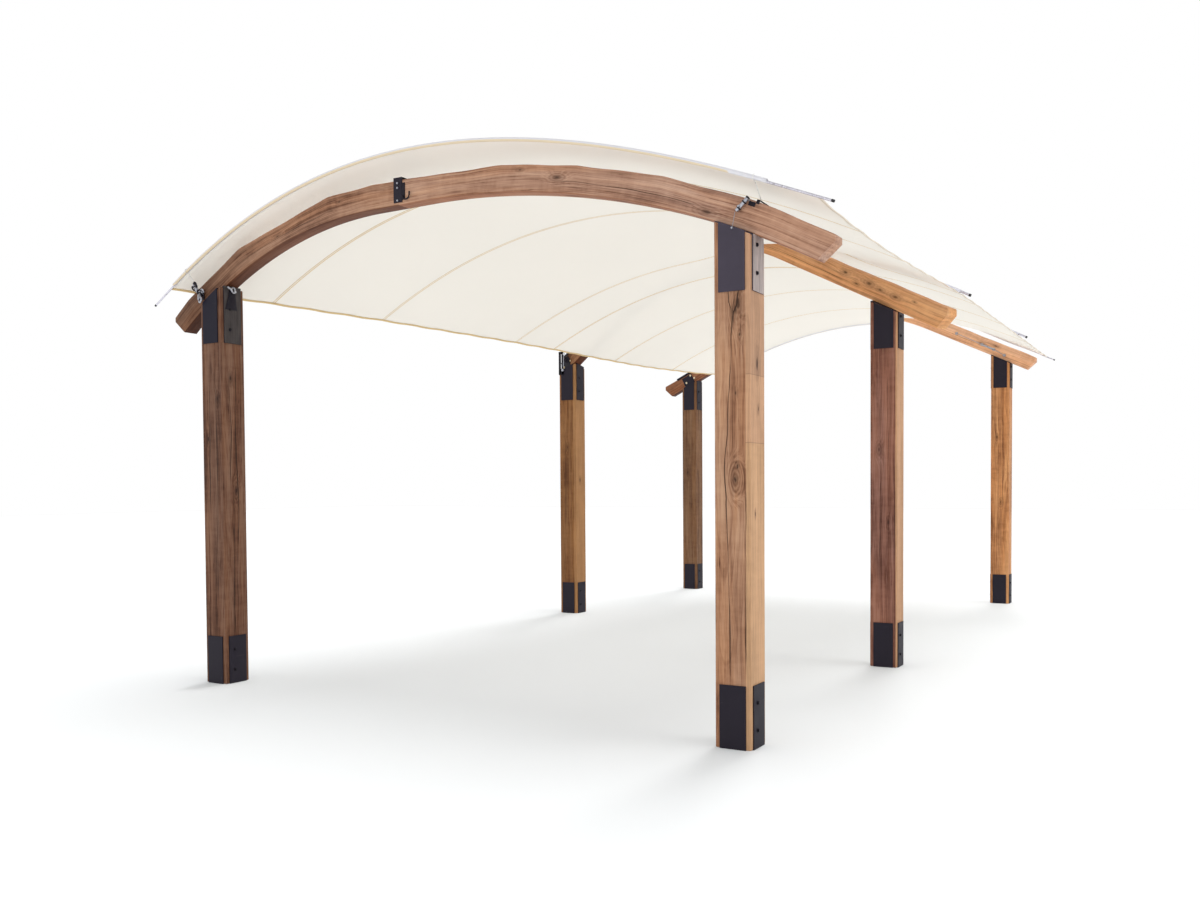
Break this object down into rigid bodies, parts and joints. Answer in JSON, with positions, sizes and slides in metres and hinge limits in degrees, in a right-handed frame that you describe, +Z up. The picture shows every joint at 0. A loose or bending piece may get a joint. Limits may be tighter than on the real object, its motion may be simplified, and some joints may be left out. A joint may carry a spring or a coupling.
{
  "type": "wooden pergola with curved beams and a fabric sail roof",
  "caption": "Garden pergola: square timber posts in steel shoes, curved timber arches and a stretched cream fabric sail for a roof.",
  "frame": {"origin": "on the floor, under the middle of the pergola's plan", "axes": "+X across the span towards the right-hand row of posts, +Y from the front arch to the rear one, +Z up"},
  "size_m": [4.5492, 7.1676, 3.3103],
  "materials": {
    "timber": "oiled brown hardwood with knots and fine cracks, semi-matt",
    "dark_steel": "dark grey-brown powder-coated steel, matt",
    "canvas": "cream woven shade cloth with pale yellow seams",
    "pale_steel": "bright zinc-plated steel"
  },
  "bodies": {
    "root": {"post_front_right": "timber", "post_middle_right": "timber", "post_rear_right": "timber", "post_front_left": "timber", "post_middle_left": "timber", "post_rear_left": "timber", "foot_shoe_front_right": "dark_steel", "foot_shoe_middle_right": "dark_steel", "foot_shoe_rear_right": "dark_steel", "foot_shoe_front_left": "dark_steel", "foot_shoe_middle_left": "dark_steel", "foot_shoe_rear_left": "dark_steel", "head_bracket_front_right": "dark_steel", "head_bracket_middle_right": "dark_steel", "head_bracket_rear_right": "dark_steel", "head_bracket_front_left": "dark_steel", "head_bracket_middle_left": "dark_steel", "head_bracket_rear_left": "dark_steel", "front_arch_left": "timber", "front_arch_right": "timber", "front_arch_splice": "dark_steel", "middle_arch_left": "timber", "middle_arch_right": "timber", "middle_arch_splice": "dark_steel", "rear_arch_left": "timber", "rear_arch_right": "timber", "rear_arch_splice": "dark_steel", "middle_strap_left": "dark_steel", "middle_strap_inner": "dark_steel", "middle_strap_crown": "dark_steel", "rear_strap_left": "dark_steel", "rear_strap_inner": "dark_steel", "rear_strap_crown": "dark_steel", "front_standoff_left": "dark_steel", "front_standoff_right": "dark_steel", "sail": "canvas", "front_batten": "pale_steel", "rear_batten": "pale_steel", "eave_rod_1": "pale_steel", "eave_rod_2": "pale_steel"}
  },
  "joints": []
}
